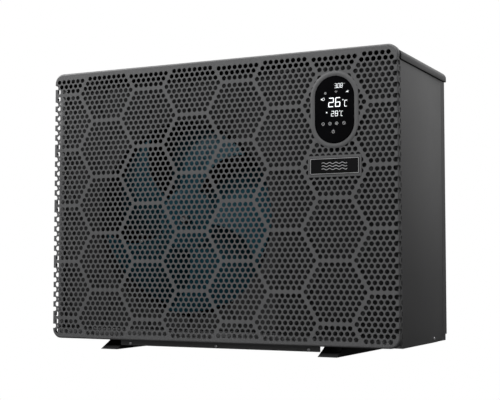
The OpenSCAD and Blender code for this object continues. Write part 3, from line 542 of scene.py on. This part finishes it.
def stadium_loop(x, z, width, height, steps=32):
    radius, rise = width / 2, (height - width) / 2
    loop = []
    for i in range(2 * steps):
        a = math.pi * i / steps
        loop.append((x + radius * math.cos(a), z + (rise if a < math.pi else -rise) + radius * math.sin(a)))
    return loop


def in_stadium(points, width, height):
    x0, z0 = display_centre()
    radius, rise = width / 2, (height - width) / 2
    dz = np.maximum(np.abs(points[:, 1] - z0) - rise, 0)
    return np.hypot(points[:, 0] - x0, dz) < radius * 0.9985


# Room that a face leaves for the marks on it, and where the marks' backs and fronts lie in it.
PRINT_ROOM = 0.12 * MM
PRINT_LIFT = 0.08 * MM
PRINT_T = 0.05 * MM


def stacked_rings(name, rings):
    """A solid through flat loops, from the back one to the front one; x and z in mm, y in m."""
    verts = [(x * MM, y, z * MM) for loop, y in rings for x, z in loop]
    n = len(rings[0][0])
    faces = [list(range((len(rings) - 1) * n, len(rings) * n)), list(range(n))[::-1]]
    for k in range(len(rings) - 1):
        for i in range(n):
            j = (i + 1) % n
            faces.append((k * n + i, k * n + j, (k + 1) * n + j, (k + 1) * n + i))
    return mesh_from(name, verts, faces)


class FlatDrawing:
    """Flat marks on the front of the unit, in mm, collected into one thin mesh."""

    def __init__(self, x, z, y):
        self.origin = (x, z)
        self.y = y
        self.verts = []
        self.faces = []

    def polygon(self, points):
        start = len(self.verts)
        self.verts += [((self.origin[0] + px) * MM, self.y, (self.origin[1] + pz) * MM)
                       for px, pz in points]
        self.faces.append(list(range(start, start + len(points))))

    def ring(self, x, z, outer, inner, start=0.0, end=360.0, steps=28):
        angles = [math.radians(start + (end - start) * i / steps) for i in range(steps + 1)]
        for a, b in zip(angles, angles[1:]):
            self.polygon([(x + r * math.cos(t), z + r * math.sin(t))
                          for r, t in ((outer, a), (outer, b), (inner, b), (inner, a))])

    def dot(self, x, z, radius, steps=20):
        self.polygon([(x + radius * math.cos(2 * math.pi * i / steps),
                       z + radius * math.sin(2 * math.pi * i / steps)) for i in range(steps)])

    def bar(self, x0, z0, x1, z1, width):
        dx, dz = x1 - x0, z1 - z0
        length = math.hypot(dx, dz)
        nx, nz = -dz / length * width / 2, dx / length * width / 2
        ex, ez = dx / length * width / 2, dz / length * width / 2
        self.polygon([(x0 + nx, z0 + nz), (x0 - ex, z0 - ez), (x0 - nx, z0 - nz),
                      (x1 - nx, z1 - nz), (x1 + ex, z1 + ez), (x1 + nx, z1 + nz)])

    def digit(self, shape, x, z, width, height, stroke):
        """A seven-segment figure; x, z is its lower left corner."""
        half, lean = height / 2, height * 0.06
        gap = stroke * 0.3
        segments = {
            "a": ((0, height), (width, height)), "g": ((0, half), (width, half)), "d": ((0, 0), (width, 0)),
            "f": ((0, half), (0, height)), "b": ((width, half), (width, height)),
            "e": ((0, 0), (0, half)), "c": ((width, 0), (width, half)),
        }
        for name in shape:
            (x0, z0), (x1, z1) = segments[name]
            if x0 == x1:
                z0, z1 = z0 + gap, z1 - gap
            else:
                x0, x1 = x0 + gap, x1 - gap
            self.bar(x + x0 + lean * z0 / height, z + z0, x + x1 + lean * z1 / height, z + z1, stroke)

    def piece(self, name, slot, material):
        mesh = mesh_from(name, self.verts, self.faces, smooth=False)
        bm = bmesh.new()
        bm.from_mesh(mesh)
        bmesh.ops.recalc_face_normals(bm, faces=bm.faces)
        for face in bm.faces:
            if face.normal.y > 0:
                face.normal_flip()
        top = bmesh.ops.extrude_face_region(bm, geom=bm.faces[:])
        moved = [v for v in top["geom"] if isinstance(v, bmesh.types.BMVert)]
        bmesh.ops.translate(bm, verts=moved, vec=(0, -PRINT_T, 0))
        bmesh.ops.recalc_face_normals(bm, faces=bm.faces)
        bm.to_mesh(mesh)
        bm.free()
        return add_piece(name, mesh, "cabinet", material)


SEGMENTS = {"0": "abcdef", "2": "abged", "3": "abgcd", "6": "afgedc", "8": "abcdefg", "C": "afed"}


def display():
    """Black touch glass with a softened edge, and the lit figures and symbols behind its face."""
    centre_x, centre_z = display_centre()
    width, height = glass_size()
    low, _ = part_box("display_glass")
    bezel_low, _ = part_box("display_bezel")
    z_mid = centre_z + (COVER_Z + COVER_H / 2) / MM
    depths = [(0.0, FRONT_Y + 0.2 * MM), (0.0, bezel_low.y), (0.35, bezel_low.y - 0.15 * MM),
              (1.0, low.y + PRINT_ROOM)]
    rings = [(stadium_loop(centre_x, z_mid, width - 2 * inset, height - 2 * inset), y)
             for inset, y in depths]
    add_piece("touch_glass", stacked_rings("touch_glass", rings), "cabinet",
              MATERIALS["black_glass"], ["display_glass"])

    figures = FlatDrawing(centre_x, z_mid, low.y + PRINT_LIFT)
    for shape, x in (("2", -13.6), ("6", 3.2)):
        figures.digit(SEGMENTS[shape], x, 6.8, 11.2, 20.4, 2.1)
    figures.digit(SEGMENTS["C"], 26.0, 6.0, 6.2, 14.0, 1.3)
    figures.ring(22.6, 21.6, 1.6, 0.9)
    for shape, x in (("3", 1.4), ("0", 9.2), ("8", 16.4)):
        figures.digit(SEGMENTS[shape], x, 50.8, 4.4, 10.0, 0.8)
    figures.dot(7.6, 51.0, 0.8)
    for shape, x in (("2", -7.2), ("8", 2.6)):
        figures.digit(SEGMENTS[shape], x, -15.6, 6.2, 11.8, 1.0)
    figures.digit(SEGMENTS["C"], 17.2, -16.0, 4.2, 11.0, 0.9)
    figures.ring(14.2, -4.2, 1.2, 0.5)
    figures.ring(-26.9, 25.6, 3.4, 2.6)
    figures.polygon([(-34.0, 25.4), (-30.6, 23.4), (-30.6, 27.4)])
    figures.dot(-18.6, -6.2, 1.6)
    for k, length in enumerate((1.2, 2.2, 3.2, 4.2)):
        figures.bar(30.6 + 1.6 * k, 39.0, 30.6 + 1.6 * k, 39.0 + length, 0.9)
    figures.piece("display_figures", "black_glass", LIT_WHITE)

    symbols = FlatDrawing(centre_x, z_mid, low.y + PRINT_LIFT)
    symbols.bar(23.2, 59.8, 27.4, 60.2, 1.1)
    symbols.ring(-22.0, 39.6, 2.7, 1.3)
    for radius in (1.6, 3.2, 4.8):
        symbols.ring(5.0, 38.2, radius + 0.8, radius - 0.1, 50, 130)
    for x in (-27.9, -10.5, 6.5, 24.7):
        symbols.ring(x, -33.0, 3.8, 2.9)
    symbols.dot(-27.9, -33.0, 1.0)
    symbols.bar(-11.8, -34.2, -9.2, -31.8, 1.0)
    symbols.dot(6.5, -33.0, 1.4)
    symbols.bar(23.2, -32.2, 26.2, -33.8, 1.0)
    symbols.ring(-2.2, -52.2, 3.8, 2.9, 120, 420)
    symbols.bar(-2.2, -51.6, -2.2, -47.6, 1.3)
    symbols.piece("display_symbols", "black_glass", LIT_DIM)


def badge():
    """Plain black badge plate with its light rim and three small waves for pool water."""
    low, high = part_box("badge_plate")
    width, height = (high.x - low.x) / MM, (high.z - low.z) / MM
    x0, z0 = (low.x + high.x) / 2 / MM, (low.z + high.z) / 2 / MM
    soften("badge_backing", 0.0002)
    depths = [(0.0, high.y), (0.0, low.y + 0.4 * MM), (0.4, low.y + PRINT_ROOM)]
    rings = []
    for inset, y in depths:
        loop = rounded_loop(width / 2 - inset, height / 2 - inset, 2.4 - inset)
        rings.append(([(x0 + x, z0 + z) for x, z in loop], y))
    add_piece("badge_face", stacked_rings("badge_face", rings), "cabinet",
              MATERIALS["badge_black"], ["badge_plate"])
    rim = FlatDrawing(x0, z0, low.y + PRINT_LIFT)
    outer = rounded_loop(width / 2 - 1.0, height / 2 - 1.0, 2.0)
    inner = rounded_loop(width / 2 - 2.2, height / 2 - 2.2, 1.2)
    for i in range(len(outer)):
        j = (i + 1) % len(outer)
        rim.polygon([outer[i], outer[j], inner[j], inner[i]])
    rim.piece("badge_rim", "badge_black", BADGE_RIM)
    waves = FlatDrawing(x0, z0, low.y + PRINT_LIFT)
    span, steps, crests, swing, thin = 64, 48, 4, 1.5, 0.7
    for z in (7.0, 0.0, -7.0):
        line = [(-span / 2 + span * i / steps, z + swing * math.sin(2 * math.pi * crests * i / steps))
                for i in range(steps + 1)]
        for a, b in zip(line, line[1:]):
            waves.polygon([(a[0], a[1] - thin), (b[0], b[1] - thin),
                           (b[0], b[1] + thin), (a[0], a[1] + thin)])
    waves.piece("badge_waves", "badge_black", BADGE_PRINT)


# ---- Fan ---------------------------------------------------------------------------------

def fan():
    """The moulded rotor: a hollow stepped hub round a boss, and wide swept blades that thin out towards their
    edges.
    """
    axis = Vector(JOINT["fan_spin"]["pos_m"])
    tip_r = 0.234
    hub_r = 0.081
    root_r = hub_r - 0.004
    hub_front, hub_back = -0.034, 0.034
    blades, rows, cols = 5, 24, 24
    root_span, mid_span, tip_span = 76, 64, 66
    blade_turn, root_depth, tip_depth = 100, 64 * MM, 90 * MM
    sweep_start, sweep_growth, camber = -15, -10, 9 * MM
    verts, faces = [], []

    def point(s, c, side, turn):
        r = root_r + s * (tip_r - root_r)
        rise = 2 * (root_span + tip_span - 2 * mid_span) * s * s
        span = root_span + (4 * mid_span - 3 * root_span - tip_span) * s + rise
        angle = math.radians(sweep_start * s + sweep_growth * s * s + (c - 0.5) * span + turn)
        thick = MM * (0.5 + 1.0 * math.sin(math.pi * min(1, max(0, c))) ** 0.5 * (1 - 0.35 * s))
        depth = root_depth + (tip_depth - root_depth) * s
        y = (c - 0.5) * depth - camber * math.sin(math.pi * c) + side * thick
        return (axis.x + r * math.cos(angle), axis.y + y, axis.z + r * math.sin(angle))

    for k in range(blades):
        start = len(verts)
        for side in (-1, 1):
            for i in range(rows + 1):
                for j in range(cols + 1):
                    verts.append(point(i / rows, j / cols, side, blade_turn + 360 * k / blades))
        sheet = (rows + 1) * (cols + 1)
        for i in range(rows):
            for j in range(cols):
                a = start + i * (cols + 1) + j
                faces.append((a, a + 1, a + cols + 2, a + cols + 1))
                faces.append((a + sheet, a + sheet + cols + 1, a + sheet + cols + 2, a + sheet + 1))
        rim = list(range(cols + 1)) + [i * (cols + 1) + cols for i in range(1, rows + 1)]
        rim += [rows * (cols + 1) + j for j in range(cols - 1, -1, -1)]
        rim += [i * (cols + 1) for i in range(rows - 1, 0, -1)]
        for a, b in zip(rim, rim[1:] + rim[:1]):
            faces.append((start + b, start + a, start + a + sheet, start + b + sheet))

    bore_r, boss_r = 0.0062, 0.013
    profile = [(bore_r, hub_front), (boss_r, hub_front), (0.0140, hub_front + 0.002),
               (0.0145, hub_front + 0.006), (hub_r - 0.010, hub_front + 0.004),
               (hub_r - 0.004, hub_front + 0.006), (hub_r, hub_front + 0.011), (hub_r, hub_back - 0.001),
               (hub_r - 0.001, hub_back), (hub_r - 0.003, hub_back), (hub_r - 0.004, hub_back - 0.001),
               (hub_r - 0.004, hub_front + 0.013), (boss_r, hub_front + 0.010),
               (boss_r, hub_back - 0.004), (bore_r, hub_back - 0.004)]
    steps = 64
    start = len(verts)
    for i in range(steps):
        a = 2 * math.pi * i / steps
        verts += [(axis.x + r * math.cos(a), axis.y + y, axis.z + r * math.sin(a)) for r, y in profile]
    n = len(profile)
    for i in range(steps):
        for j in range(n):
            a, b = start + i * n + j, start + i * n + (j + 1) % n
            c, d = start + (i + 1) % steps * n + j, start + (i + 1) % steps * n + (j + 1) % n
            faces.append((a, c, d, b))
    mesh = mesh_from("rotor", verts, faces)
    bm = bmesh.new()
    bm.from_mesh(mesh)
    bmesh.ops.recalc_face_normals(bm, faces=bm.faces)
    bm.to_mesh(mesh)
    bm.free()
    shade_by_angle(mesh, 40)
    add_piece("rotor", mesh, "fan", MATERIALS["fan_plastic"], ["fan_rotor"])


# ---- Coil --------------------------------------------------------------------------------

def coil():
    """Stacked aluminium fins that follow the coil's L, with its copper tubes running through them."""
    low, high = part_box("coil_fins")
    thick, bend_r = 0.038, 0.08
    cx, cy = low.x + bend_r, high.y - bend_r
    mid_r = bend_r - thick / 2
    back_run = high.x - cx
    turn_run = math.pi / 2 * mid_r
    side_run = cy - low.y

    def frame_at(s):
        """Point on the coil's middle line at distance s from its right end, and the way it runs."""
        if s < back_run:
            return Vector((high.x - s, high.y - thick / 2, 0)), Vector((-1, 0, 0))
        if s < back_run + turn_run:
            a = math.pi / 2 + (s - back_run) / mid_r
            outward = Vector((math.cos(a), math.sin(a), 0))
            return Vector((cx, cy, 0)) + mid_r * outward, Vector((-outward.y, outward.x, 0))
        return Vector((low.x + thick / 2, cy - (s - back_run - turn_run), 0)), Vector((0, -1, 0))

    total = back_run + turn_run + side_run
    step, fin_t = 0.0032, 0.0005
    verts, faces = [], []
    folds = 4
    for k in range(int(total / step)):
        p, along = frame_at((k + 0.5) * step)
        across = Vector((-along.y, along.x, 0))
        start = len(verts)
        for z in (low.z, high.z):
            for i in range(folds + 1):
                w = (i / folds - 0.5) * (thick - 0.0005)
                ripple = 0.0005 * (1 if i % 2 else -1)
                for side in (-fin_t / 2, fin_t / 2):
                    q = p + across * w + along * (ripple + side)
                    verts.append((q.x, q.y, z))
        n = 2 * (folds + 1)
        for i in range(folds):
            a = start + 2 * i
            faces.append((a, a + 2, a + 2 + n, a + n))
            faces.append((a + 1, a + 1 + n, a + 3 + n, a + 3))
            faces.append((a, a + 1, a + 3, a + 2))
            faces.append((a + n, a + 2 + n, a + 3 + n, a + 1 + n))
        faces.append((start, start + n, start + n + 1, start + 1))
        faces.append((start + n - 2, start + n - 1, start + 2 * n - 1, start + 2 * n - 2))
    mesh = mesh_from("fin_stack", verts, faces, smooth=False)
    # The fins get a near-black painted shade in place of their aluminium colour.
    add_piece("fin_stack", mesh, "cabinet", FIN_PAINTED_SHADE, ["coil_fins"])

    tube_r, tube_pitch, sides, samples = 0.0046, 0.025, 8, 60
    verts, faces = [], []
    for row in range(int((high.z - low.z) / tube_pitch)):
        z = low.z + (row + 0.5) * tube_pitch
        for offset in (-0.0095, 0.0095):
            start = len(verts)
            for k in range(samples + 1):
                p, along = frame_at(total * (0.001 + 0.998 * k / samples))
                across = Vector((-along.y, along.x, 0))
                for i in range(sides):
                    a = 2 * math.pi * i / sides
                    q = p + across * (offset + tube_r * math.cos(a))
                    verts.append((q.x, q.y, z + tube_r * math.sin(a)))
            for k in range(samples):
                for i in range(sides):
                    j = (i + 1) % sides
                    a = start + k * sides
                    faces.append((a + i, a + j, a + sides + j, a + sides + i))
            faces.append([start + i for i in range(sides)][::-1])
            faces.append([start + samples * sides + i for i in range(sides)])
    # The tubes get a dark painted shade in place of bare copper.
    add_piece("coil_tubes", mesh_from("coil_tubes", verts, faces), "cabinet", TUBE_PAINTED_SHADE)


# ---- Screws ------------------------------------------------------------------------------

def screw_heads(node, name):
    """Pan heads with a cross recess, one where each CAD head is."""
    bm = bmesh.new()
    bm.from_mesh(frame["nodes"][node].data)
    bmesh.ops.remove_doubles(bm, verts=bm.verts, dist=1e-6)
    left = set(bm.verts)
    heads = []
    while left:
        stack, island = [left.pop()], []
        while stack:
            v = stack.pop()
            island.append(v.co.copy())
            for e in v.link_edges:
                o = e.other_vert(v)
                if o in left:
                    left.remove(o)
                    stack.append(o)
        lo = Vector([min(c[i] for c in island) for i in range(3)])
        hi = Vector([max(c[i] for c in island) for i in range(3)])
        heads.append((lo, hi))
    bm.free()
    verts, faces = [], []
    middle = Vector((0, (cad_low.y + cad_high.y) / 2, 0))
    for lo, hi in heads:
        size = hi - lo
        axis = min(range(3), key=lambda i: size[i])
        centre = (lo + hi) / 2
        sign = 1 if (centre - middle)[axis] > 0 else -1
        height, radius = size[axis], max(size) / 2
        normal = Vector([sign if i == axis else 0 for i in range(3)])
        u = Vector((0, 0, 1))
        w = normal.cross(u)
        foot = centre - normal * height / 2
        start = len(verts)
        steps = 24
        profile = [(1.0, 0.0), (1.0, 0.35), (0.93, 0.7), (0.72, 0.93), (0.45, 1.0)]
        for r, h in profile:
            for i in range(steps):
                a = 2 * math.pi * i / steps
                out = u * math.cos(a) + w * math.sin(a)
                verts.append(foot + out * (radius * r) + normal * (height * h))
        for k in range(len(profile) - 1):
            for i in range(steps):
                j = (i + 1) % steps
                faces.append((start + k * steps + i, start + k * steps + j,
                              start + (k + 1) * steps + j, start + (k + 1) * steps + i))
        cross = []
        for i in range(steps):
            deep = i % 6 == 0
            a = 2 * math.pi * i / steps
            r = 0.42 if deep else 0.16 if i % 6 == 3 else 0.3
            cross.append((a, r, 0.55 if deep or i % 6 in (1, 5) else 0.6))
        for a, r, h in cross:
            verts.append(foot + (u * math.cos(a) + w * math.sin(a)) * (radius * r) + normal * (height * h))
        last = start + (len(profile) - 1) * steps
        base = start + len(profile) * steps
        for i in range(steps):
            j = (i + 1) % steps
            faces.append((last + i, last + j, base + j, base + i))
        faces.append([base + i for i in range(steps)])
        faces.append([start + i for i in range(steps)][::-1])
    mesh = mesh_from(name, verts, faces)
    bm = bmesh.new()
    bm.from_mesh(mesh)
    bmesh.ops.recalc_face_normals(bm, faces=bm.faces)
    bm.to_mesh(mesh)
    bm.free()
    shade_by_angle(mesh, 30)
    add_piece(name, mesh, "cabinet", MATERIALS[NODE_SLOT[node]], [node])


# ---- Floor and light ---------------------------------------------------------------------

def studio():
    floor = bpy.data.meshes.new("floor")
    floor.from_pydata([(-30, -30, 0), (30, -30, 0), (30, 30, 0), (-30, 30, 0)], [], [(0, 1, 2, 3)])
    floor.materials.append(pale_floor_material())
    ground = bpy.data.objects.new("floor", floor)
    ground.location.z = cad_low.z - 0.0005
    bpy.context.scene.collection.objects.link(ground)

    bpy.context.scene.world = studio_world()
    bpy.context.scene.view_settings.view_transform = "Standard"

    def softbox(name, position, target, size, power):
        data = bpy.data.lights.new(name, "AREA")
        data.shape = "RECTANGLE"
        data.size, data.size_y = size
        data.energy = power
        lamp = bpy.data.objects.new(name, data)
        lamp.location = position
        lamp.rotation_euler = (Vector(target) - Vector(position)).to_track_quat("-Z", "Y").to_euler()
        bpy.context.scene.collection.objects.link(lamp)

    softbox("top_softbox", (0.0, -0.9, 3.0), (0, 0, 0.4), (3.0, 2.0), 60)
    softbox("front_softbox", (-1.2, -6.8, 4.2), (0, 0, 0.4), (1.6, 1.6), 15)
    softbox("left_softbox", (-8.0, -5.2, 6.4), (0, 0, 0.4), (0.8, 0.8), 930)
    softbox("corner_softbox", (1.6, -3.2, 2.8), (0.3, -0.2, 0.4), (1.2, 1.2), 32)
    softbox("right_softbox", (2.6, 0.0, 3.2), (0.4, 0.1, 0.5), (1.6, 1.6), 6)


def studio_world():
    """White for the camera; as a light, and in reflections, it is brighter above than below."""
    world = bpy.data.worlds.new("studio")
    world.use_nodes = True
    tree = world.node_tree
    way = tree.nodes.new("ShaderNodeTexCoord")
    split = tree.nodes.new("ShaderNodeSeparateXYZ")
    tree.links.new(way.outputs["Generated"], split.inputs["Vector"])

    def graded(strength, low_z, high_z, darkest):
        node = tree.nodes.new("ShaderNodeBackground")
        node.inputs["Strength"].default_value = strength
        grade = tree.nodes.new("ShaderNodeMapRange")
        grade.inputs["From Min"].default_value = low_z
        grade.inputs["From Max"].default_value = high_z
        grade.inputs["To Min"].default_value = darkest
        grade.inputs["To Max"].default_value = 1.0
        tree.links.new(split.outputs["Z"], grade.inputs["Value"])
        tree.links.new(grade.outputs["Result"], node.inputs["Color"])
        return node.outputs["Background"]

    sees = tree.nodes.new("ShaderNodeLightPath")

    def chosen(ray, otherwise, then):
        mix = tree.nodes.new("ShaderNodeMixShader")
        tree.links.new(sees.outputs[ray], mix.inputs["Fac"])
        tree.links.new(otherwise, mix.inputs[1])
        tree.links.new(then, mix.inputs[2])
        return mix.outputs["Shader"]

    white = tree.nodes["Background"]
    white.inputs["Color"].default_value = (1, 1, 1, 1)
    light = chosen("Is Glossy Ray", graded(0.22, -0.3, 0.8, 0.05), graded(0.9, -0.1, 0.4, 0.0))
    shown = chosen("Is Camera Ray", light, white.outputs["Background"])
    tree.links.new(shown, tree.nodes["World Output"].inputs["Surface"])
    return world


# ---- Assembly ----------------------------------------------------------------------------

SOFTENED = {
    "display_bezel": 0.0004, "top_cover": 0.0005, "right_side_panel": 0.0006, "left_front_post": 0.0006,
    "left_rear_post": 0.0006, "rear_panel": 0.0004, "base_pan": 0.0006, "base_rail": 0.0006,
    "left_runner": 0.0008, "right_runner": 0.0008, "air_ring_panel": 0.0004, "bay_front_panel": 0.0004,
    "inlet_tailpiece": 0.0008, "outlet_tailpiece": 0.0008, "inlet_nut": 0.0012, "outlet_nut": 0.0012,
    "cable_gland": 0.0008, "fan_nut": 0.0005, "inlet_stub": 0.0006, "outlet_stub": 0.0006,
    "fan_motor": 0.001, "motor_bracket": 0.0004,
}


def finish_cad_nodes():
    """Every CAD piece that still shows gets the material of its slot."""
    for name, node in frame["nodes"].items():
        node.data.materials.clear()
        node.data.materials.append(MATERIALS[NODE_SLOT[name]])


make_camera()
finish_cad_nodes()
for softened_node, edge_width in SOFTENED.items():
    soften(softened_node, edge_width)
perforated_cover()
display()
badge()
fan()
coil()
screw_heads("cabinet_screws", "cabinet_screw_heads")
screw_heads("rail_screws", "rail_screw_heads")
studio()
